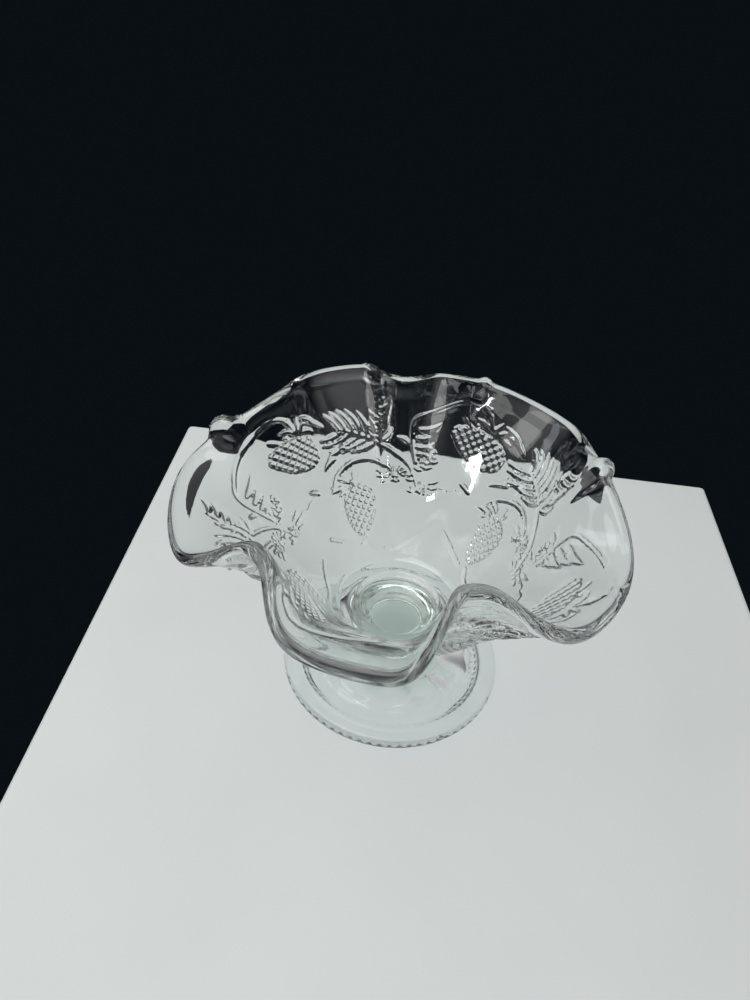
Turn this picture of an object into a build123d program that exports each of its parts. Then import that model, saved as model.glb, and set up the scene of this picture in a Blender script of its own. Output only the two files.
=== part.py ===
from build123d import *
import math
import os

# A footed sweet dish of clear pressed glass: a flaring bowl whose rim was crimped by hand
# into six folds while hot, on a short waisted stem and a round hollow foot.
# Millimetres. +Z is up, the foot stands on Z = 0 and the stem is on the Z axis.
# Angles are in degrees about +Z, counted from +X.

# --- overall sizes ---
foot_radius = 46.0
rim_radius = 82.0            # typical lobe of the rim, measured from the axis
rim_height = 93.0            # typical lobe of the rim, above the table

# --- bowl ---
floor_height = 35.0          # inside floor of the bowl, above the table
floor_radius = 24.0          # where the floor turns up into the wall
base_wall = 4.5              # wall and floor thickness at the bottom
rim_wall = 4.4               # wall thickness just below the rim
wall_slope = 56.0            # the wall leaves the floor this steeply, in degrees
wall_reach = 28.0            # length over which it keeps that slope
lobe_flare = 12.0            # slope of a lobe at the rim, almost level
crimp_flare = 70.0           # slope of a crimp at the rim, almost upright
lobe_reach = 22.0            # length over which each of them keeps that slope
crimp_reach = 14.0
bead_rise = 2.5              # how far the round fire-polished rim stands past the wall
crimp_sharpness = 2.6        # how squarely a fold leaves the lobes beside it
section_step = 6             # degrees between two sections of the wall

# --- well in the floor ---
well_radius = 17.0
well_floor_radius = 10.2
well_depth = 8.0
well_lip_round = 1.0
well_floor_round = 1.5

# --- stem ---
stem_radius = 14.5           # waist
stem_spread = 3.0            # how much wider the stem is at either end than at its waist
boss_spread = 2.5            # how much wider still the bowl's boss is, under its floor
boss_lap = 1.0               # how far the wall's floor ring runs into the boss

# --- foot ---
foot_height = 8.5            # where the stem stands on it
foot_edge = 5.0              # height of the foot's edge
foot_edge_round = 2.0
foot_ring = 7.0              # width of the flat ring that the foot stands on
foot_ring_round = 0.8        # rounding of the ring's two corners
foot_hollow = 5.5            # depth of the hollow under the foot

# Six crimps: angle, pull towards the axis, lift above the lobes, and how far the fold
# reaches before and after its angle. Each was pinched by hand, so no two are the same.
crimps = [
    (-136, 17, 7, 10, 15),
    (-75, 21, 13, 10, 18),
    (14, 17, 10, 25.5, 15),
    (64, 15.5, 9.5, 13, 13.5),
    (96, 21, 7, 9, 6.5),
    (150, 19, 10.5, 21.5, 15),
]
# The lobe that follows each crimp: how far it swells out, and how much it stands up.
lobes = [(0, 0), (-4.5, -2.5), (-8, 5.5), (-3, 2.5), (4, 1), (1, -4)]

well_floor = floor_height - well_depth
stem_top = well_floor - base_wall
stem_end_radius = stem_radius + stem_spread
boss_radius = stem_end_radius + boss_spread


def fold(x):
    # 1 in the middle of a crimp, 0 a little past its reach
    return math.exp(-abs(x) ** crimp_sharpness)


def rim_point(angle):
    # radius and height of the rim: the lobe between two crimps, drawn in and up towards both
    first = crimps[0][0]
    angle = (angle - first) % 360 + first
    for index, crimp in enumerate(crimps):
        following = crimps[(index + 1) % len(crimps)]
        end = following[0] if index + 1 < len(crimps) else following[0] + 360
        if angle <= end:
            break
    swell, stand = lobes[index]
    near = fold((angle - crimp[0]) / crimp[4])
    far = fold((end - angle) / following[3])
    radius = rim_radius + swell - (crimp[1] + swell) * near - (following[1] + swell) * far
    height = rim_height + stand + (crimp[2] - stand) * near + (following[2] - stand) * far
    return radius, height


def polar(length, slope):
    return Vector(length * math.cos(math.radians(slope)), length * math.sin(math.radians(slope)))


def wall_section(angle):
    # closed outline of the wall at one angle: floor, inside, round bead, outside, underside
    radius, height = rim_point(angle)
    depth = min(max((rim_radius - radius) / max(crimp[1] for crimp in crimps), 0), 1)
    flare = lobe_flare + (crimp_flare - lobe_flare) * depth
    reach = lobe_reach + (crimp_reach - lobe_reach) * depth

    corner = Vector(floor_radius, floor_height)
    rim = Vector(radius, height)
    inside = [corner, corner + polar(wall_reach, wall_slope), rim - polar(reach, flare), rim]
    base_side = polar(base_wall, wall_slope - 90)
    rim_side = polar(rim_wall, flare - 90)
    outside = [inside[0] + base_side, inside[1] + base_side, inside[2] + rim_side, rim + rim_side]
    bead_top = rim + rim_side / 2 + polar(bead_rise, flare)
    inner_end = Vector(boss_radius - boss_lap, floor_height)
    under = Vector(0, -base_wall)
    bend = corner + polar(base_wall, (wall_slope - 180) / 2)

    turn = math.radians(angle)
    plane = Plane(
        origin=(0, 0, 0),
        x_dir=(math.cos(turn), math.sin(turn), 0),
        z_dir=(math.sin(turn), -math.cos(turn), 0),
    )

    def place(points):
        return [plane.from_local_coords(point) for point in points]

    return Wire([
        Edge.make_line(*place([inner_end, corner])),
        Edge.make_bezier(*place(inside)),
        Edge.make_three_point_arc(*place([inside[3], bead_top, outside[3]])),
        Edge.make_bezier(*place(outside[::-1])),
        Edge.make_three_point_arc(*place([outside[0], bend, corner + under])),
        Edge.make_line(*place([corner + under, inner_end + under])),
        Edge.make_line(*place([inner_end + under, inner_end])),
    ])


def round_corner(sketch, across, up, radius):
    # round the corner of a turned profile nearest to this place
    fillet(sketch.vertices().sort_by_distance((across, up, 0))[0], radius)


def turn_profile(draw, corners):
    # solid of revolution about the Z axis: draw() makes the half profile's lines
    with BuildPart() as turned:
        with BuildSketch(Plane.XZ) as profile:
            with BuildLine():
                draw()
            make_face()
            for across, up, radius in corners:
                round_corner(profile, across, up, radius)
        revolve(axis=Axis.Z)
    return turned.part


def draw_centre():
    # floor inside the wall, the tapered well and the boss that runs down into the stem
    bottom = Line((0, well_floor), (well_floor_radius, well_floor))
    side = Line(bottom @ 1, (well_radius, floor_height))
    flat = Line(side @ 1, (boss_radius, floor_height))
    joint = Line(flat @ 1, (boss_radius, floor_height - base_wall))
    waist = Spline(joint @ 1, (stem_end_radius, stem_top), tangents=[(-1, -0.2), (-0.35, -1)])
    seat = Line(waist @ 1, (0, stem_top))
    Line(seat @ 1, bottom @ 0)


def make_bowl():
    # the wall is one loft right round the axis, fused with the turned floor and boss
    sections = [wall_section(angle) for angle in range(0, 360, section_step)]
    wall = Solid.make_loft(sections + [sections[0]], False)
    corners = [
        (well_radius, floor_height, well_lip_round),
        (well_floor_radius, well_floor, well_floor_round),
    ]
    return wall + turn_profile(draw_centre, corners)


def draw_stem():
    # short waisted column, solid glass
    top = Line((0, stem_top), (stem_end_radius, stem_top))
    waist_height = (stem_top + foot_height) / 2
    side = Spline(top @ 1, (stem_radius, waist_height), (stem_end_radius, foot_height))
    bottom = Line(side @ 1, (0, foot_height))
    Line(bottom @ 1, top @ 0)


def draw_foot():
    # low round foot: sloping top, upright edge, flat ring and a shallow dome beneath
    seat = Line((0, foot_height), (stem_end_radius, foot_height))
    slope = Spline(seat @ 1, (foot_radius, foot_edge), tangents=[(1, -0.5), (1, -0.05)])
    edge = Line(slope @ 1, (foot_radius, 0))
    ring = Line(edge @ 1, (foot_radius - foot_ring, 0))
    dome = Spline(ring @ 1, (0, foot_hollow), tangents=[(-1, 0.6), (-1, 0)])
    Line(dome @ 1, seat @ 0)


def make_foot():
    corners = [
        (foot_radius, foot_edge, foot_edge_round),
        (foot_radius, 0, foot_ring_round),
        (foot_radius - foot_ring, 0, foot_ring_round),
    ]
    return turn_profile(draw_foot, corners)


os.makedirs("parts", exist_ok=True)
nodes = {
    "bowl": make_bowl(),
    "stem": turn_profile(draw_stem, []),
    "foot": make_foot(),
}
for name, piece in nodes.items():
    export_step(piece, f"parts/{name}.step")
    print(name, round(piece.volume), "mm3")
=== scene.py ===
import math

import bpy
import numpy as np
from mathutils import Matrix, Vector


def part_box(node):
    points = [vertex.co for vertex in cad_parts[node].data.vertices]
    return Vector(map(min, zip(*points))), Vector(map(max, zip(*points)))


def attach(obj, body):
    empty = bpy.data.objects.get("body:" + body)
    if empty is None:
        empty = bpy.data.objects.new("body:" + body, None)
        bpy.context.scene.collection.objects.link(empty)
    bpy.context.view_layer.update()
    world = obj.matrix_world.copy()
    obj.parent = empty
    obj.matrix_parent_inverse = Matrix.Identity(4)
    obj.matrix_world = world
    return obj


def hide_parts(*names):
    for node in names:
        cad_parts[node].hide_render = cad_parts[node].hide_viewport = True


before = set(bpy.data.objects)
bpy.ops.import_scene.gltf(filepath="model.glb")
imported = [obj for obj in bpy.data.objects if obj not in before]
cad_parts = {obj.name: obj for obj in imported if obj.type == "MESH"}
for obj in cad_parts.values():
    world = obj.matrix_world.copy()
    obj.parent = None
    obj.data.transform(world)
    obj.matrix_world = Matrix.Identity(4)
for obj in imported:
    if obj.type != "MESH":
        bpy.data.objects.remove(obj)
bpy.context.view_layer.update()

# A footed sweet dish of clear pressed glass with a crimped rim. Lengths are in millimetres until a mesh
# is made, angles are in degrees about +Z, and the outlines are pairs of radius and height.
mm = 0.001
stemLow, stemHigh = [np.array(corner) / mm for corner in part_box("stem")]
lowJoint = stemLow[2]      # where the foot is joined to the stem
highJoint = stemHigh[2]    # where the stem is joined to the bowl
jointGap = 0.01            # each joint face stops this far short, so that no two faces lie in one plane
jointSlack = 0.002         # a face this near a joint's height is one of its own
sharpFrom = 70             # edges that turn further than this stay crisp


def smooth(x):
    # 0 to 1 with level ends: 3x^2 - 2x^3
    x = np.clip(x, 0, 1)
    return x * x * (3 - 2 * x)


def polar(length, angle):
    # a step of that length in the plane of radius and height, at that angle above level
    return np.stack(np.broadcast_arrays(length * np.cos(np.radians(angle)),
                                        length * np.sin(np.radians(angle))), -1)


def cubic(points, t):
    # a Bezier curve per column: (1-t)^3 a + 3t(1-t)^2 b + 3t^2(1-t) c + t^3 d, rows along t
    a, b, c, d = [np.asarray(point, float)[None] for point in points]
    t = np.asarray(t, float).reshape((-1,) + (1,) * (a.ndim - 1))
    return (1 - t) ** 3 * a + 3 * t * (1 - t) ** 2 * b + 3 * t * t * (1 - t) * c + t ** 3 * d


def bend(start, startWay, end, endWay, count):
    # a Bezier curve that leaves and arrives along two given ways, each handle a third of the span long
    start, end = np.array(start, float), np.array(end, float)
    third = np.linalg.norm(end - start) / 3
    leave, arrive = np.array(startWay, float), np.array(endWay, float)
    leave = leave / np.linalg.norm(leave) * third
    arrive = arrive / np.linalg.norm(arrive) * third
    return cubic([start, start + leave, end - arrive, end], np.linspace(0, 1, count))


def arcThrough(start, top, end, count):
    # the arc of the circle through three points, one arc per column, without its two ends
    chord = (end - start) / 2
    middle = (start + end) / 2
    half = np.linalg.norm(chord, axis=-1, keepdims=True)
    rise = np.linalg.norm(top - middle, axis=-1, keepdims=True)
    radius = (half ** 2 + rise ** 2) / (2 * rise)
    outward = (top - middle) / rise
    sweep = np.arctan2(half, radius - rise)
    turn = np.linspace(-1, 1, count + 2)[1:-1, None, None] * sweep
    return top - outward * radius + radius * (np.sin(turn) * chord / half + np.cos(turn) * outward)


def carried(outline, angles):
    # an outline carried round the axis: (radius cos angle, radius sin angle, height), rows along the outline
    around = np.radians(angles)
    radius, height = np.broadcast_arrays(outline[..., 0], outline[..., 1])
    if radius.ndim == 1:
        radius = np.repeat(radius[:, None], len(around), 1)
        height = np.repeat(height[:, None], len(around), 1)
    return np.stack([radius * np.cos(around), radius * np.sin(around), height], -1)


def flatRing(radius, height, angles):
    # one level ring of points: (radius cos angle, radius sin angle, height)
    return carried(np.array([[float(radius), height]]), angles)[0]


def outwards(grid):
    # unit normals of a grid of points: the way round crossed with the way up
    alongRow = np.roll(grid, -1, 1) - np.roll(grid, 1, 1)
    alongColumn = np.gradient(grid, axis=0)
    normal = np.cross(alongRow, alongColumn)
    return normal / np.linalg.norm(normal, axis=-1, keepdims=True)


def closedPiece(name, rings, bottom, top, materials, joints):
    # rings of points from a lower pole to an upper one, each next ring with as many points, twice or half;
    # the flat faces at the joints' heights take the second material
    points = np.concatenate([np.array([bottom])] + list(rings) + [np.array([top])])
    starts = np.cumsum([1] + [len(ring) for ring in rings])
    first, last = np.arange(len(rings[0])), np.arange(len(rings[-1]))
    faces = [np.stack([0 * first, starts[0] + (first + 1) % len(first), starts[0] + first], 1)]
    for i in range(len(rings) - 1):
        low, high = len(rings[i]), len(rings[i + 1])
        a, b = starts[i], starts[i + 1]
        j = np.arange(min(low, high))
        k = (j + 1) % len(j)
        odd = 2 * j + 1
        if low == high:
            faces.append(np.stack([a + j, a + k, b + k, b + j], 1))
        elif low < high:
            faces.append(np.stack([a + j, b + odd, b + 2 * j], 1))
            faces.append(np.stack([a + j, a + k, b + odd], 1))
            faces.append(np.stack([a + k, b + (odd + 1) % high, b + odd], 1))
        else:
            faces.append(np.stack([a + 2 * j, a + odd, b + j], 1))
            faces.append(np.stack([a + odd, b + k, b + j], 1))
            faces.append(np.stack([a + odd, a + (odd + 1) % low, b + k], 1))
    pole = 0 * last + len(points) - 1
    faces.append(np.stack([starts[-2] + last, starts[-2] + (last + 1) % len(last), pole], 1))
    mesh = bpy.data.meshes.new(name)
    mesh.from_pydata((points * mm).tolist(), [], [face for block in faces for face in block.tolist()])
    for material in materials:
        mesh.materials.append(material)
    mesh.polygons.foreach_set("use_smooth", np.ones(len(mesh.polygons), bool))
    centres = np.empty(len(mesh.polygons) * 3, np.float32)
    mesh.polygons.foreach_get("center", centres)
    heights = centres[2::3] / mm
    onJoint = np.min([np.abs(heights - joint) for joint in joints], 0) < jointSlack
    mesh.polygons.foreach_set("material_index", onJoint.astype(np.int32))
    mesh.set_sharp_from_angle(angle=math.radians(sharpFrom))
    mesh.update()
    piece = bpy.data.objects.new(name, mesh)
    bpy.context.scene.collection.objects.link(piece)
    print(name, "has", sum(len(face) - 2 for block in faces for face in block), "triangles")
    return piece


# The relief is what the mould presses on the outside of the wall: one quarter of it, given as turns in
# degrees from the quarter's own line and climbs in millimetres up the wall from the floor. All is drawn on
# the wall's cone rolled out flat, and keeps its true size there.
relief = {
    "quarters": [190, 104, 18, -76],          # where each quarter's line stands
    "coneTip": 41.4,                          # the cone's tip lies this far below the floor's edge
    "coneShare": 0.58,                        # a full turn of the cone covers this share of a flat circle
    "turns": (-50, 90), "climbs": (2, 78),    # how far a quarter's figures reach
    "leafRise": 1.25, "vineRise": 0.95, "berryRise": 0.75, "daisyRise": 1.15, "budRise": 1.1,
    "studRise": 1.25, "studPitch": 2.6,
    "ribHalf": 0.6,                           # half width, and rise, of a frond's rib
    "groove": 0.22, "grooveHalf": 0.28,       # a leaf's middle groove: depth and half width, as shares
    "calyxSwell": 0.22,                       # how much wider a berry is at its calyx
    # middle, half length, half width, lean of the long axis, slant of the studs
    "berries": [((43.5, 56), 12.6, 6.9, 172, -17), ((15, 23.5), 11.5, 7.0, 84, -15)],
    # the vines' courses and half widths
    "vines": [
        ([(70, 43), (73, 52), (73, 60), (67, 65), (57, 71), (50, 73.5), (44, 71), (40, 64)], 0.95),
        ([(29, 35), (25, 40), (18, 43.5), (10, 45), (3, 44), (-3, 41)], 1.05),
        ([(-20, 31), (-14, 40), (-7, 46), (0, 51)], 0.8),
        ([(-29, 33.3), (-33, 34.7), (-36, 34), (-40, 35.8), (-44, 35.6)], 0.5),
        ([(44, 17), (32, 12), (20, 8.6), (14, 9.8), (6, 6), (-6, 5), (-16, 8), (-26, 12.5)], 0.8),
        ([(52, 66), (47, 62.5), (41, 61.5), (36, 63)], 0.6),
    ],
    # course of the rib, leaflets, their length, their turn from the rib, bow, half width, and which side
    "fronds": [
        ([(-1, 51), (5, 54.5), (11, 57), (18, 59.5)], 7, 12.5, 48, 0.10, 1.15, 1),
        ([(1, 51.8), (6, 54), (12, 56), (18, 58)], 5, 15.0, 42, 0.06, 1.05, -1),
        ([(-1, 51), (2, 57), (2, 63), (0, 70)], 7, 9.0, 60, 0.22, 1.15, 1),
        ([(0, 54), (1, 58), (1, 64)], 3, 5.5, 45, 0.2, 0.8, -1),
    ],
    # base, tip, half width and bow of each single leaf: the wide ones beside the tall vine first,
    "leaves": [
        ((71, 46.5), (64, 49), 1.3, 0.1), ((71.5, 49.5), (62, 53), 1.6, 0.15),
        ((71.5, 53), (61.5, 57.5), 1.8, 0.15), ((71, 57), (60, 62.5), 1.9, 0.15),
        ((74, 50), (79, 53), 1.0, 0.1),
        # then the upper berry's calyx,
        ((40, 62.8), (48.5, 67), 1.2, 0.15), ((40, 62.8), (33.5, 69), 1.35, 0.1),
        ((40, 62.8), (37.5, 70), 1.1, 0), ((40, 62.5), (31, 61.8), 1.15, -0.1),
        ((41, 62), (44, 58.5), 0.9, 0), ((38.5, 62), (36.5, 58.6), 0.9, 0),
        # the lower berry's calyx,
        ((19, 36), (12, 38.5), 1.2, 0.15), ((19, 36), (27, 39), 1.2, 0.15), ((21, 35), (32, 37), 0.95, -0.1),
        ((21, 33.5), (33, 33.8), 0.9, 0.1), ((20, 33), (28, 30.5), 0.9, 0.1), ((16, 36.5), (15, 41), 0.9, 0),
        # the loose leaves between them,
        ((38, 36.3), (46, 39.6), 1.1, 0.05), ((24, 61.5), (35, 65.5), 1.0, 0.1),
        ((27, 63.5), (38, 68.5), 1.0, 0.1), ((22, 48), (32, 43.5), 1.15, 0.1),
        ((18, 50.5), (28, 47.5), 1.1, 0.1),
        # and the small ones about the daisies
        ((-18, 42), (-26, 42.6), 0.7, 0.1), ((-19, 43.6), (-28, 45.8), 0.7, 0.1),
        ((-15, 41), (-21, 40.2), 0.6, 0.1), ((-2.5, 36.8), (4, 40), 0.7, 0.1),
        ((-3, 35.8), (4, 37), 0.7, 0.1), ((-3, 34.8), (3, 34.2), 0.6, 0),
        ((-11.5, 36.8), (-17, 39), 0.7, 0.1), ((-11.5, 35.6), (-17, 35.5), 0.7, 0.1),
        ((-10, 34.4), (-3.5, 34.4), 0.6, 0),
        ((-24, 35), (-31, 38), 0.7, 0.1), ((-24, 33), (-31, 34.5), 0.7, 0.1),
        ((-24, 31), (-30, 31), 0.7, 0.1), ((-14, 33), (-21, 31), 0.7, 0.1),
        ((-12, 30.8), (-20, 30.4), 0.6, 0.05),
    ],
    # middle, radius, petals in a full round, first and last turn of the fan
    "daisies": [
        ((-21, 46.8), 4.6, 10, -180, 180), ((-7, 36.4), 5.2, 12, -96, 96), ((-22.5, 33), 3.6, 10, 30, 200),
    ],
    # middle and radius
    "buds": [((43, 69.5), 1.7), ((46, 64.5), 0.9), ((-1.5, 60.5), 0.8)],
}


def develop(turn, climb):
    # the cone rolled out: distance from its tip, swung by the turn times the cone's share
    reach = climb + relief["coneTip"]
    swing = np.radians(turn) * relief["coneShare"]
    return reach * np.sin(swing), reach * np.cos(swing)


def course(points, count):
    # a smooth run through the given points: each stretch a Catmull-Rom curve, evenly stepped
    points = np.array(points, float)
    padded = np.concatenate([2 * points[:1] - points[1:2], points, 2 * points[-1:] - points[-2:-1]])
    step = np.linspace(0, len(points) - 1.0001, count)
    i = step.astype(int)
    t = (step - i)[:, None]
    a, b, c, d = padded[i], padded[i + 1], padded[i + 2], padded[i + 3]
    square, cube = 2 * a - 5 * b + 4 * c - d, 3 * b - a - 3 * c + d
    return 0.5 * (2 * b + (c - a) * t + square * t * t + cube * t ** 3)


def spindle(x, y, base, tip, halfWidth, bow):
    # a leaf with a round back and a fine groove: its width is the half width times sin(pi u^0.8)^0.75 along
    # u, its height the root of 1 - (across / width)^2, less e to the minus (across / groove)^2
    base, tip = np.array(base), np.array(tip)
    length = np.linalg.norm(tip - base)
    way = (tip - base) / length
    along = ((x - base[0]) * way[0] + (y - base[1]) * way[1]) / length
    middle = bow * length * np.sin(np.pi * np.clip(along, 0, 1))
    across = (x - base[0]) * -way[1] + (y - base[1]) * way[0] - middle
    width = halfWidth * np.sin(np.pi * np.clip(along, 0.0001, 0.9999) ** 0.8) ** 0.75
    body = np.sqrt(np.clip(1 - (across / width) ** 2, 0, 1)) * ((along > 0) & (along < 1))
    taper = np.clip(width / halfWidth, 0, 1) ** 0.5
    groove = np.exp(-(across / (relief["grooveHalf"] * halfWidth)) ** 2)
    return body * taper * (1 - relief["groove"] * groove)


def stalk(x, y, points, halfWidth):
    # a round cord along a course: the root of 1 - (distance to the course / half width)^2
    run = course(points, 16 * len(points))
    flatX, flatY = develop(run[:, 0], run[:, 1])
    nearest = np.full(x.shape, 1e9)
    for px, py, qx, qy in zip(flatX, flatY, flatX[1:], flatY[1:]):
        dx, dy = qx - px, qy - py
        u = np.clip(((x - px) * dx + (y - py) * dy) / (dx * dx + dy * dy), 0, 1)
        nearest = np.minimum(nearest, (x - px - u * dx) ** 2 + (y - py - u * dy) ** 2)
    return np.sqrt(np.clip(1 - nearest / halfWidth ** 2, 0, 1))


def berry(x, y, middle, halfLength, halfWidth, lean, slant):
    # an egg-shaped dome: the root of 1 - (across / width)^2, where the width is the root of 1 - along^2 and
    # grows towards the calyx, with a lattice of pillow studs on it: |sin a| |sin b| along two slants
    cx, cy = develop(*middle)
    way = np.radians(lean)
    along = ((x - cx) * np.cos(way) + (y - cy) * np.sin(way)) / halfLength
    across = (x - cx) * -np.sin(way) + (y - cy) * np.cos(way)
    width = halfWidth * np.sqrt(np.clip(1 - along ** 2, 1e-6, 1)) * (1 + relief["calyxSwell"] * along)
    body = np.sqrt(np.clip(1 - (across / width) ** 2, 0, 1)) * (np.abs(along) < 1)
    taper = np.clip(1 - along ** 2, 0, 1) ** 0.25
    turned = np.radians(lean + slant)
    u = ((x - cx) * np.cos(turned) + (y - cy) * np.sin(turned)) / relief["studPitch"]
    v = ((y - cy) * np.cos(turned) - (x - cx) * np.sin(turned)) / relief["studPitch"]
    a, b = math.pi * (u + v) * math.sqrt(0.5), math.pi * (u - v) * math.sqrt(0.5)
    stud = np.abs(np.sin(a) * np.sin(b)) * smooth(3 * body)
    return relief["berryRise"] * body * taper + relief["studRise"] * stud


def daisy(x, y, middle, radius, petals, start, end):
    # petals as spokes: |cos(petals x turn / 2)| between two radii, round a small domed heart
    cx, cy = develop(*middle)
    reach = np.hypot(x - cx, y - cy) / radius
    turn = np.degrees(np.arctan2(x - cx, y - cy))
    spoke = np.abs(np.cos(np.radians(turn) * petals / 2))
    within = smooth((reach - 0.22) * 8) * smooth((1 - reach) * 6)
    swung = turn % 360 if start >= 0 else turn
    inFan = (swung >= start) & (swung <= end)
    heart = np.sqrt(np.clip(1 - (reach / 0.24) ** 2, 0, 1))
    return np.maximum(0.85 * within * smooth((spoke - 0.35) * 2) * inFan, heart)


def reliefHeight(turn, climb):
    # the highest of all the figures at each place of the wall, quarter by quarter
    height = np.zeros(turn.shape)
    for quarter in relief["quarters"]:
        local = (turn - quarter + 180) % 360 - 180
        near = (local > relief["turns"][0]) & (local < relief["turns"][1])
        near &= (climb > relief["climbs"][0]) & (climb < relief["climbs"][1])
        x, y = develop(local[near], climb[near])
        figure = np.zeros(x.shape)
        for points, halfWidth in relief["vines"]:
            rise = relief["vineRise"] * min(1, halfWidth)
            figure = np.maximum(figure, rise * stalk(x, y, points, halfWidth))
        for points, count, length, spread, bow, halfWidth, side in relief["fronds"]:
            figure = np.maximum(figure, relief["ribHalf"] * stalk(x, y, points, relief["ribHalf"]))
            rib = np.stack(develop(*course(points, 60).T), 1)
            way = np.gradient(rib, axis=0)
            for share in np.linspace(0.04, 0.97, count):
                i = int(share * 59)
                angle = math.atan2(way[i, 1], way[i, 0]) + side * math.radians(spread * (1.1 - 0.45 * share))
                long = length * (0.78 + 0.35 * math.sin(math.pi * share))
                tip = rib[i] + long * np.array([math.cos(angle), math.sin(angle)])
                leaflet = spindle(x, y, rib[i], tip, halfWidth, side * bow)
                figure = np.maximum(figure, relief["leafRise"] * leaflet)
        for base, tip, halfWidth, bow in relief["leaves"]:
            rise = relief["leafRise"] * min(1, halfWidth)
            leaf = spindle(x, y, develop(*base), develop(*tip), halfWidth, bow)
            figure = np.maximum(figure, rise * leaf)
        for middle, *shape in relief["berries"]:
            figure = np.maximum(figure, berry(x, y, middle, *shape))
        for middle, *shape in relief["daisies"]:
            figure = np.maximum(figure, relief["daisyRise"] * daisy(x, y, middle, *shape))
        for middle, radius in relief["buds"]:
            cx, cy = develop(*middle)
            away = ((x - cx) ** 2 + (y - cy) ** 2) / radius ** 2
            figure = np.maximum(figure, relief["budRise"] * np.sqrt(np.clip(1 - away, 0, 1)))
        height[near] = np.maximum(height[near], figure)
    return height


# The bowl's own values, the same as the CAD model's where it has them.
bowl = {
    "rimRadius": 82, "rimHeight": 93, "floorHeight": 35, "floorRadius": 24,
    "baseWall": 4.5, "rimWall": 4.4, "wallSlope": 56, "wallReach": 28,
    "lobeFlare": 12, "crimpFlare": 70, "lobeReach": 22, "crimpReach": 14, "crimpDepth": 21,
    "beadRise": 2.5, "beadSwell": 0.7, "beadDeep": 4.5, "crimpSharpness": 2.6,
    # a crimp's angle, its pull towards the axis, its lift above the lobes, its reach before and after
    "crimps": [(-136, 17, 7, 10, 15), (-75, 21, 13, 10, 18), (14, 17, 10, 25.5, 15),
               (64, 15.5, 9.5, 13, 13.5), (96, 21, 7, 9, 6.5), (150, 19, 10.5, 21.5, 15)],
    # the swell and the stand of the lobe after each crimp
    "lobes": [(0, 0), (-4.5, -2.5), (-8, 5.5), (-3, 2.5), (4, 1), (1, -4)],
    # marks of the crimping tool: angle, half width, length down the wall, swell of the wall, rise of the rim
    "pinches": [(163, 2.3, 5.5, 2.3, 5.0), (9, 2.8, 9, 1.6, 3.4), (104.5, 1.8, 7, 1.0, 1.6),
                (67, 2.0, 9, 1.2, 1.6)],
    "pinchInside": 0.7,                                    # share of a mark's swell on the inside
    "bossRadius": 20, "bossTop": 30.5, "jointRadius": 17.5,
    "wellFloorRadius": 10.2, "wellRadius": 17, "wellFloor": 27, "wellLipRound": 1.0, "wellFloorRound": 1.5,
    "wellWay": (-0.65, -1),                                # how the well's side leans in as it goes down
    "columns": 680,
    "fineFrom": 0.16, "fineTo": 0.915, "fineRows": 99,     # the part of the wall that carries the relief
    "plainRowsBelow": 15, "plainRowsAbove": 6, "insideRows": 26, "beadRows": 8,
}


def fold(x):
    # a rounded step down from 1: e to the power of minus |x| raised to the crimps' sharpness
    return np.exp(-np.abs(x) ** bowl["crimpSharpness"])


def rimPoint(angle):
    # the lobe's radius and height, less each neighbouring crimp's pull and lift times its fold
    crimps, lobes = np.array(bowl["crimps"], float), np.array(bowl["lobes"], float)
    angle = (angle - crimps[0, 0]) % 360 + crimps[0, 0]
    i = np.searchsorted(crimps[:, 0], angle, side="right") - 1
    j = (i + 1) % len(crimps)
    end = np.where(j == 0, crimps[0, 0] + 360, crimps[j, 0])
    near = fold((angle - crimps[i, 0]) / crimps[i, 4])
    far = fold((end - angle) / crimps[j, 3])
    swell, stand = lobes[i].T
    radius = bowl["rimRadius"] + swell - (crimps[i, 1] + swell) * near - (crimps[j, 1] + swell) * far
    height = bowl["rimHeight"] + stand + (crimps[i, 2] - stand) * near + (crimps[j, 2] - stand) * far
    return radius, height


def pinchAt(angle):
    # the tool marks' swell of the wall, rise of the rim and length down the wall, each times its fold here
    marks = np.array(bowl["pinches"], float)
    away = (angle[None] - marks[:, :1] + 180) % 360 - 180
    share = fold(away / marks[:, 1:2])
    swell, rise, length = [(share * marks[:, i:i + 1]).sum(0) for i in (3, 4, 2)]
    return swell, rise, length + 1


def wellOutline():
    # the floor, the lip and the well, from the wall's foot inward, then down and in to the well's floor
    level, lip, hollow = bowl["floorHeight"], bowl["wellLipRound"], bowl["wellFloorRound"]
    floorRun = [(bowl["floorRadius"] - 0.7, level - 0.05), (21.5, level), (19.2, level),
                (bowl["wellRadius"] + lip, level)]
    lipEnd = (bowl["wellRadius"] - 0.85, level - 1.5)
    sideEnd = (bowl["wellFloorRadius"] + 0.9, bowl["wellFloor"] + 1.2)
    bottomEnd = (bowl["wellFloorRadius"] - hollow, bowl["wellFloor"])
    lipRun = bend(floorRun[-1], (-1, 0), lipEnd, bowl["wellWay"], 5)[1:]
    sideRun = bend(lipEnd, bowl["wellWay"], sideEnd, bowl["wellWay"], 5)[1:]
    bottomRun = bend(sideEnd, bowl["wellWay"], bottomEnd, (-1, 0), 5)[1:]
    return np.concatenate([floorRun, lipRun, sideRun, bottomRun])


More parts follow.
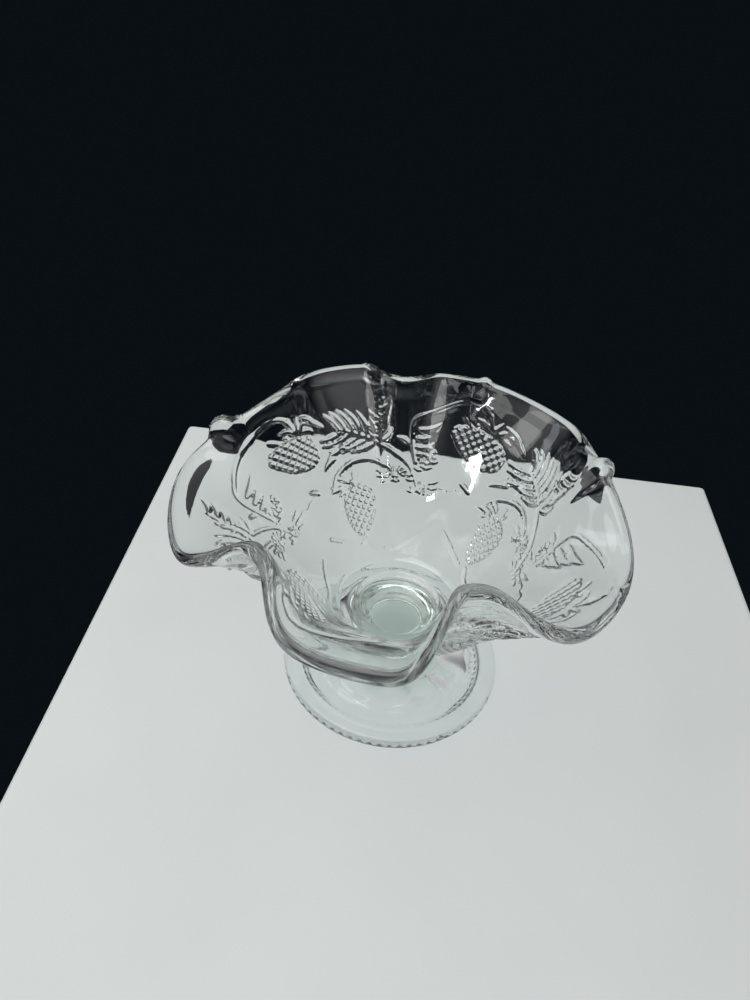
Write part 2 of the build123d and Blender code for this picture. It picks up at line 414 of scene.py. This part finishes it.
def makeBowl(materials):
    # each column is two Bezier walls from the floor's edge to the rim, a bead over the top, the floor and
    # the well inside, and the boss beneath; relief and tool marks push the wall out along its normals
    angles = np.arange(bowl["columns"]) * 360 / bowl["columns"]
    radius, height = rimPoint(angles)
    depth = np.clip((bowl["rimRadius"] - radius) / bowl["crimpDepth"], 0, 1)
    flare = bowl["lobeFlare"] + (bowl["crimpFlare"] - bowl["lobeFlare"]) * depth
    reach = bowl["lobeReach"] + (bowl["crimpReach"] - bowl["lobeReach"]) * depth
    corner = np.repeat([[float(bowl["floorRadius"]), float(bowl["floorHeight"])]], len(angles), 0)
    rim = np.stack([radius, height], -1)
    baseSide = polar(bowl["baseWall"], bowl["wallSlope"] - 90)
    rimSide = polar(bowl["rimWall"], flare - 90)
    inner = [corner, corner + polar(bowl["wallReach"], bowl["wallSlope"]), rim - polar(reach, flare), rim]
    outer = [inner[0] + baseSide, inner[1] + baseSide, inner[2] + rimSide, inner[3] + rimSide]

    # even steps up the wall: the Bezier's own steps are evened out by the mean length run so far
    dense = np.linspace(0, 1, 1201)
    innerDense, outerDense = cubic(inner, dense), cubic(outer, dense)
    steps = np.linalg.norm(np.diff((innerDense + outerDense) / 2, axis=0), axis=-1)
    climb = np.concatenate([np.zeros((1, len(angles))), np.cumsum(steps, 0)])
    share = climb.mean(1) / climb.mean(1)[-1]

    fine = np.linspace(bowl["fineFrom"], bowl["fineTo"], bowl["fineRows"])
    below = np.linspace(0, bowl["fineFrom"], bowl["plainRowsBelow"] + 1)[:-1]
    above = np.linspace(bowl["fineTo"], 1, bowl["plainRowsAbove"] + 1)[1:]
    insideShares = np.linspace(0, 1, bowl["insideRows"])
    rows, insideRows = [np.interp(wanted, share, np.arange(len(dense))).round().astype(int)
                        for wanted in (np.concatenate([below, fine, above]), insideShares)]
    pinch, pinchRise, pinchLength = pinchAt(angles)

    outside = carried(outerDense[rows], angles)
    fromRim = (climb[-1] - climb[rows]) / pinchLength
    push = reliefHeight(np.broadcast_to(angles, (len(rows), len(angles))), climb[rows])
    swell = bowl["beadSwell"] * fold((climb[-1] - climb) / bowl["beadDeep"])
    outside = outside + outwards(outside) * (push + swell[rows] + pinch * fold(fromRim * 0.9))[..., None]

    inside = carried(innerDense[insideRows], angles)
    fromRim = (climb[-1] - climb[insideRows]) / pinchLength
    dent = bowl["pinchInside"] * pinch * fold(fromRim * 1.1)
    inside = inside - outwards(inside) * (swell[insideRows] + dent)[..., None]
    inside = inside[::-1]

    beadHeight = bowl["beadRise"] + bowl["beadSwell"] + pinchRise
    beadTop = carried((rim + rimSide / 2 + polar(beadHeight, flare))[None], angles)[0]
    bead = arcThrough(outside[-1], beadTop, inside[0], bowl["beadRows"])

    # beneath: the joint, the boss's side, and the underside out to the wall
    jointHeight = highJoint + jointGap
    bossEdge = (bowl["bossRadius"], bowl["bossTop"])
    boss = bend((bowl["jointRadius"], jointHeight), (0.35, 1), bossEdge, (1, 0.25), 9)
    wallFoot = outerDense[0, 0]
    under = bend(boss[-1], (1, 0.25), wallFoot, (0.56, 0.83), 9)[1:-1]
    beneath = np.concatenate([boss, under])

    half, quarter, eighth = angles[::2], angles[::4], angles[::8]
    wellFloor = bowl["wellFloor"]
    rings = [flatRing(5.0, jointHeight, eighth), flatRing(11.0, jointHeight, quarter)]
    rings += list(carried(beneath, half))
    firstFine, lastFine = len(below), len(below) + len(fine)
    rings += [row if firstFine <= i < lastFine else row[::2] for i, row in enumerate(outside)]
    rings += [row[::2] for row in bead]
    rings += [row[::2] for row in inside]
    rings += list(carried(wellOutline(), half))
    rings += [flatRing(5.8, wellFloor, quarter), flatRing(2.9, wellFloor, eighth)]
    bottom, top = (0, 0, jointHeight), (0, 0, wellFloor)
    return closedPiece("bowl_pressed_glass", rings, bottom, top, materials, [jointHeight])


# The stem is plain, with no relief.
stem = {"waist": 14.5, "waistHeight": 15.5, "jointRadius": 17.5, "columns": 256, "rows": 15}


def makeStem(materials):
    # a waisted column turned on the axis: two curves meeting upright at the waist, a flat joint at each end
    low, high = lowJoint + jointGap, highJoint - jointGap
    waist = (stem["waist"], stem["waistHeight"])
    lower = bend((stem["jointRadius"], low), (-0.5, 1), waist, (0, 1), stem["rows"])
    upper = bend(waist, (0, 1), (stem["jointRadius"], high), (0.35, 1), stem["rows"])
    side = np.concatenate([lower, upper[1:]])
    angles = np.arange(stem["columns"]) * 360 / stem["columns"]
    rings = [flatRing(4.0, low, angles[::4]), flatRing(10.0, low, angles[::2])]
    rings += list(carried(side, angles))
    rings += [flatRing(10.0, high, angles[::2]), flatRing(4.0, high, angles[::4])]
    return closedPiece("stem_pressed_glass", rings, (0, 0, low), (0, 0, high), materials, [low, high])


# The foot has petals pressed into its hollow and fine beads round its edge.
foot = {
    "radius": 46, "edgeHeight": 5, "ring": 7, "ringRound": 0.8, "hollow": 5.5,
    "edgeMiddle": 1.6,                                                  # height of the widest place
    "jointRadius": 17.5, "columns": 720,
    "petals": 12, "petalRise": 0.75, "petalFrom": 20, "petalTo": 38,    # pressed under the foot
    "beads": 72, "beadRise": 1.2,                                       # a fine beaded edge
}


def makeFoot(materials):
    # a low dome turned on the axis, hollow beneath and standing on a ring. Petals thicken the hollow's roof:
    # |cos(petals x turn / 2)|^1.5 times 1 - (2s - 1)^2 along their length s. Beads ripple the edge: the
    # radius shrinks by half of 1 - cos(beads x turn)
    high = lowJoint - jointGap
    outerRing, innerRing = foot["radius"], foot["radius"] - foot["ring"]
    widest, shoulder = (outerRing, foot["edgeMiddle"]), (outerRing - 1.6, foot["edgeHeight"])
    dome = bend((innerRing - 0.6, 0.35), (-0.45, 1), (0.0, foot["hollow"]), (-1, 0), 34)[:-1][::-1]
    step = foot["ringRound"]
    stand = np.array([(innerRing, 0.06), (innerRing + step, 0.0),
                      (outerRing - 3, 0.0), (outerRing - 1.2, 0.0)])
    lowEdge = bend((outerRing - step, 0.05), (1, 0.15), widest, (0, 1), 6)
    highEdge = bend(widest, (0, 1), shoulder, (-1, 0.25), 9)[1:]
    top = bend(shoulder, (-1, 0.12), (foot["jointRadius"], high), (-1, 0.5), 40)[1:]
    outline = np.concatenate([dome, stand, lowEdge, highEdge, top])
    angles = np.arange(foot["columns"]) * 360 / foot["columns"]
    grid = carried(outline, angles)

    radius = outline[:, 0][:, None]
    turn = np.radians(angles)[None]
    petalShare = np.clip((radius - foot["petalFrom"]) / (foot["petalTo"] - foot["petalFrom"]), 0, 1)
    lane = np.abs(np.cos(foot["petals"] * turn / 2))
    petal = lane ** 1.5 * (1 - (2 * petalShare - 1) ** 2)
    beneath = (np.arange(len(outline)) < len(dome))[:, None]
    grid[..., 2] -= foot["petalRise"] * petal * beneath

    onEdge = smooth(1 - np.abs(outline[:, 1] - foot["edgeMiddle"]) / 1.5)[:, None] * (radius > outerRing - 2)
    grow = 1 + foot["beadRise"] * onEdge * (0.5 * np.cos(foot["beads"] * turn) - 0.5) / outerRing
    grid[..., :2] *= grow[..., None]

    # fewer points near the axis: an eighth of them, a quarter, a half, and then all
    rings = [row[::8] for row in grid[:3]] + [row[::4] for row in grid[3:6]]
    rings += [row[::2] for row in grid[6:9]] + list(grid[9:])
    rings += [flatRing(11.0, high, angles[::2]), flatRing(5.0, high, angles[::4])]
    return closedPiece("foot_pressed_glass", rings, (0, 0, foot["hollow"]), (0, 0, high), materials, [high])


def colour(hexCode):
    # sRGB hex to linear: c / 12.92 below 0.04045, and ((c + 0.055) / 1.055)^2.4 above
    shares = [int(hexCode[i:i + 2], 16) / 255 for i in (1, 3, 5)]
    return [c / 12.92 if c <= 0.04045 else ((c + 0.055) / 1.055) ** 2.4 for c in shares] + [1]


def addNode(tree, kind, inputs=None, **settings):
    # one node with its settings; each input is either linked from a socket or set to a value
    made = tree.nodes.new(kind)
    for name, value in settings.items():
        setattr(made, name, value)
    for name, value in (inputs or {}).items():
        if isinstance(value, bpy.types.NodeSocket):
            tree.links.new(value, made.inputs[name])
        else:
            made.inputs[name].default_value = value
    return made


def newMaterial(name):
    # a material with an empty node tree
    material = bpy.data.materials.new(name)
    material.use_nodes = True
    material.node_tree.nodes.clear()
    return material, material.node_tree


glass = {
    "ior": 1.52,
    "clear": "#fbfdfc", "tint": "#edf2f0",
    "cordLength": 26,                         # mm between the faint streaks left in the melt
    "waveLength": 9.0, "waveDepth": 0.04,     # mm, the ripples that fire polishing leaves
    "chillLength": 0.9, "chillDepth": 0.006,  # mm, the tiny marks of the cool mould
    "polished": 0.0, "dulled": 0.035,         # roughness in the hollows and on the crests of the ripples
    "wornHeight": 0.7, "worn": 0.32,          # the foot is scratched up to this height, and this rough
    "lampShade": "#fdfefe",                   # what one skin of glass lets through to light what is behind
    "jointLossAndPaintedShade": "#f6f8f7",                  # what each joint lets through: a little is the glass's own loss down the stem, the rest painted shade beneath it
}


def noise(tree, place, seed, length, detail):
    # a cloud of that many millimetres from lump to lump, different for each seed
    return addNode(tree, "ShaderNodeTexNoise", {"Vector": place, "W": seed, "Scale": 1 / (length * mm),
                                                "Detail": detail}, noise_dimensions="4D")


def pressedGlass(name, seed, wornFoot=False):
    # Clear soda-lime glass, pressed in an iron mould and fire-polished: a bright skin with slow ripples and
    # fine chill marks, a trace of grey-green in the mass, and on the foot a ring scratched dull by tables
    material, tree = newMaterial(name)
    place = addNode(tree, "ShaderNodeTexCoord").outputs["Object"]
    streaks = noise(tree, place, seed, glass["cordLength"], 2.0)
    ripples = noise(tree, place, seed + 3, glass["waveLength"], 1.0)
    chill = noise(tree, place, seed + 5, glass["chillLength"], 2.0)
    body = addNode(tree, "ShaderNodeMix", {"Factor": streaks.outputs["Fac"], "A": colour(glass["clear"]),
                                           "B": colour(glass["tint"])}, data_type="RGBA")
    skin = addNode(tree, "ShaderNodeMapRange", {
        "Value": ripples.outputs["Fac"], "From Min": 0.35, "From Max": 0.75,
        "To Min": glass["polished"], "To Max": glass["dulled"]})
    rough = skin.outputs["Result"]
    if wornFoot:
        height = addNode(tree, "ShaderNodeSeparateXYZ", {"Vector": place}).outputs["Z"]
        low = addNode(tree, "ShaderNodeMapRange", {
            "Value": height, "From Min": glass["wornHeight"] * mm, "From Max": 0.0,
            "To Min": 0.0, "To Max": glass["worn"]})
        patchy = addNode(tree, "ShaderNodeMath", {0: low.outputs["Result"], 1: chill.outputs["Fac"]},
                         operation="MULTIPLY")
        worn = addNode(tree, "ShaderNodeMath", {0: rough, 1: patchy.outputs["Value"]}, operation="ADD")
        rough = worn.outputs["Value"]
    slow = addNode(tree, "ShaderNodeBump", {"Height": ripples.outputs["Fac"], "Strength": 1.0,
                                            "Distance": glass["waveDepth"] * mm})
    fine = addNode(tree, "ShaderNodeBump", {"Height": chill.outputs["Fac"], "Strength": 1.0,
                                            "Distance": glass["chillDepth"] * mm,
                                            "Normal": slow.outputs["Normal"]})
    mass = addNode(tree, "ShaderNodeBsdfPrincipled", {
        "Base Color": body.outputs["Result"], "Roughness": rough, "Normal": fine.outputs["Normal"],
        "IOR": glass["ior"], "Transmission Weight": 1.0})
    # light on its way to a lamp or the room goes straight through, so what stands behind the glass is lit
    through = addNode(tree, "ShaderNodeBsdfTransparent", {"Color": colour(glass["lampShade"])})
    path = addNode(tree, "ShaderNodeLightPath")
    lit = addNode(tree, "ShaderNodeMath", {0: path.outputs["Is Shadow Ray"],
                                           1: path.outputs["Is Diffuse Ray"]}, operation="MAXIMUM")
    both = addNode(tree, "ShaderNodeMixShader", {0: lit.outputs["Value"], 1: mass.outputs["BSDF"],
                                                  2: through.outputs["BSDF"]})
    addNode(tree, "ShaderNodeOutputMaterial", {"Surface": both.outputs["Shader"]})
    return material


def fusedJointWithPaintedShade():
    # inside one piece of pressed glass there is no surface between bowl, stem and foot: nothing bends or
    # shines.
    # Each joint face holds back a share of the light: a little for the long way through the glass, the rest
    # painted shade that darkens the board beneath the stem and the view down through it
    material, tree = newMaterial("glass run together in the mould, with painted shade")
    # the joint faces' tint is painted shade beneath the stem, with a little of the glass's own loss
    clear = addNode(tree, "ShaderNodeBsdfTransparent", {"Color": colour(glass["jointLossAndPaintedShade"])})
    addNode(tree, "ShaderNodeOutputMaterial", {"Surface": clear.outputs["BSDF"]})
    return material


joint = fusedJointWithPaintedShade()
bowlPiece = makeBowl([pressedGlass("pressed soda-lime glass, bowl", 0.0), joint])
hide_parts("bowl")
print("bowl made")
stemPiece = makeStem([pressedGlass("pressed soda-lime glass, stem", 11.0), joint])
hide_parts("stem")
print("stem made")
footPiece = makeFoot([pressedGlass("pressed soda-lime glass, foot", 23.0, wornFoot=True), joint])
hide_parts("foot")
print("foot made")
for piece in (bowlPiece, stemPiece, footPiece):
    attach(piece, "root")


# The studio: a pale board, a dark room under a pale ceiling, softboxes and the camera.
studio = {
    "boardLeft": -132.7, "boardRight": 173, "boardFront": -215, "boardBack": 155.1,
    "boardThick": 24, "boardEdge": 3, "boardTurn": -1.7,
    "board": "#dfe2e1", "boardDull": "#d3d7d7",
    "backdrop": "#0d1318", "sky": "#f2f4f5", "skyStrength": 0.76,
    "skyFrom": 0.18, "skyTo": 0.95,    # sines of the heights where the ceiling begins and is full
    "boxAim": (0, 0, 0.05),            # where the softboxes point, in metres
    # softboxes: where each stands in metres, its width and height in metres, its lean, its watts, its tint
    "softboxes": [
        ((-0.56, -0.745, 0.565), 0.22, 0.02, 19.5, 0.5, "#ffffff"),
        ((-0.42, -0.36, 1.12), 1.1, 0.9, 0, 7.6, "#fffefb"),
        ((-0.95, 0.35, 0.75), 0.25, 0.8, 0, 1.2, "#f4f8ff"),
    ],
    "camera": (-0.01348, -0.22108, 0.26800),    # in metres
    "pitch": 39.33, "roll": 5.91, "lens": 28.13, "sensor": 36,
}


def makeBoard():
    # a flat slab with softened edges, level with the foot's ring, turned a little about the axis:
    # x' = x cos - y sin, y' = x sin + y cos
    low = np.array([studio["boardLeft"], studio["boardFront"], -studio["boardThick"]]) * mm
    high = np.array([studio["boardRight"], studio["boardBack"], 0]) * mm
    corners = np.array([[(low, high)[(i >> a) & 1][a] for a in range(3)] for i in range(8)])
    turn = math.radians(studio["boardTurn"])
    turning = np.array([[math.cos(turn), math.sin(turn)], [-math.sin(turn), math.cos(turn)]])
    corners[:, :2] = corners[:, :2] @ turning
    faces = [(0, 2, 3, 1), (4, 5, 7, 6), (0, 1, 5, 4), (2, 6, 7, 3), (0, 4, 6, 2), (1, 3, 7, 5)]
    mesh = bpy.data.meshes.new("studio_board")
    mesh.from_pydata(corners.tolist(), [], faces)
    board = bpy.data.objects.new("studio_board", mesh)
    bpy.context.scene.collection.objects.link(board)
    edges = board.modifiers.new("softened edges", "BEVEL")
    edges.width = studio["boardEdge"] * mm
    edges.segments = 4
    material, tree = newMaterial("matt whitened board")
    place = addNode(tree, "ShaderNodeTexCoord").outputs["Object"]
    cloud = addNode(tree, "ShaderNodeTexNoise", {"Vector": place, "Scale": 1 / (90 * mm), "Detail": 3.0})
    paint = addNode(tree, "ShaderNodeMix", {"Factor": cloud.outputs["Fac"], "A": colour(studio["board"]),
                                            "B": colour(studio["boardDull"])}, data_type="RGBA")
    matt = addNode(tree, "ShaderNodeBsdfPrincipled", {"Base Color": paint.outputs["Result"],
                                                      "Roughness": 0.75})
    addNode(tree, "ShaderNodeOutputMaterial", {"Surface": matt.outputs["BSDF"]})
    mesh.materials.append(material)


def makeSky():
    # a dark room up to a little above level, growing into a pale ceiling: smooth step of the way's height
    world = bpy.data.worlds.new("studio room")
    world.use_nodes = True
    tree = world.node_tree
    tree.nodes.clear()
    way = addNode(tree, "ShaderNodeTexCoord").outputs["Generated"]
    height = addNode(tree, "ShaderNodeSeparateXYZ", {"Vector": way}).outputs["Z"]
    share = addNode(tree, "ShaderNodeMapRange", {
        "Value": height, "From Min": studio["skyFrom"], "From Max": studio["skyTo"]},
        interpolation_type="SMOOTHSTEP")
    shade = addNode(tree, "ShaderNodeMix", {
        "Factor": share.outputs["Result"], "A": colour(studio["backdrop"]), "B": colour(studio["sky"])},
        data_type="RGBA")
    glow = addNode(tree, "ShaderNodeBackground", {"Color": shade.outputs["Result"],
                                                  "Strength": studio["skyStrength"]})
    addNode(tree, "ShaderNodeOutputWorld", {"Surface": glow.outputs["Background"]})
    bpy.context.scene.world = world


def aimed(position, target):
    # a frame at the position whose own -Z points at the target
    back = np.array(position) - np.array(target)
    back /= np.linalg.norm(back)
    right = np.cross((0, 0, 1), back)
    right /= np.linalg.norm(right)
    up = np.cross(back, right)
    return Matrix([[right[i], up[i], back[i], position[i]] for i in range(3)] + [[0, 0, 0, 1]])


def makeLights():
    # rectangular softboxes, all aimed at the dish; the lean turns one about its own aim
    for number, (position, width, height, lean, watts, tint) in enumerate(studio["softboxes"]):
        lamp = bpy.data.lights.new("softbox %d" % (number + 1), "AREA")
        lamp.shape = "RECTANGLE"
        lamp.size, lamp.size_y = width, height
        lamp.energy = watts
        lamp.color = colour(tint)[:3]
        box = bpy.data.objects.new(lamp.name, lamp)
        box.matrix_world = aimed(position, studio["boxAim"]) @ Matrix.Rotation(math.radians(lean), 4, "Z")
        bpy.context.scene.collection.objects.link(box)


def makeCamera():
    # looks down by the pitch along +Y, and leans by the roll
    pitch, roll = math.radians(studio["pitch"]), math.radians(studio["roll"])
    ahead = np.array([0, math.cos(pitch), -math.sin(pitch)])
    level, upright = np.array([1.0, 0, 0]), np.array([0, math.sin(pitch), math.cos(pitch)])
    right = level * math.cos(roll) + upright * math.sin(roll)
    up = upright * math.cos(roll) - level * math.sin(roll)
    lens = bpy.data.cameras.new("camera")
    lens.sensor_fit = "AUTO"
    lens.sensor_width = studio["sensor"]
    lens.lens = studio["lens"]
    lens.clip_start = 0.01
    camera = bpy.data.objects.new("camera", lens)
    rows = [[right[i], up[i], -ahead[i], studio["camera"][i]] for i in range(3)]
    camera.matrix_world = Matrix(rows + [[0, 0, 0, 1]])
    bpy.context.scene.collection.objects.link(camera)
    bpy.context.scene.camera = camera


makeBoard()
makeSky()
makeLights()
makeCamera()
scene = bpy.context.scene
scene.view_settings.view_transform = "Standard"
scene.cycles.max_bounces = 24
scene.cycles.transmission_bounces = 20
scene.cycles.glossy_bounces = 8
scene.cycles.transparent_max_bounces = 32
scene.cycles.caustics_refractive = False
scene.cycles.caustics_reflective = False
scene.cycles.sample_clamp_indirect = 6
scene.cycles.use_denoising = True
print("studio made")
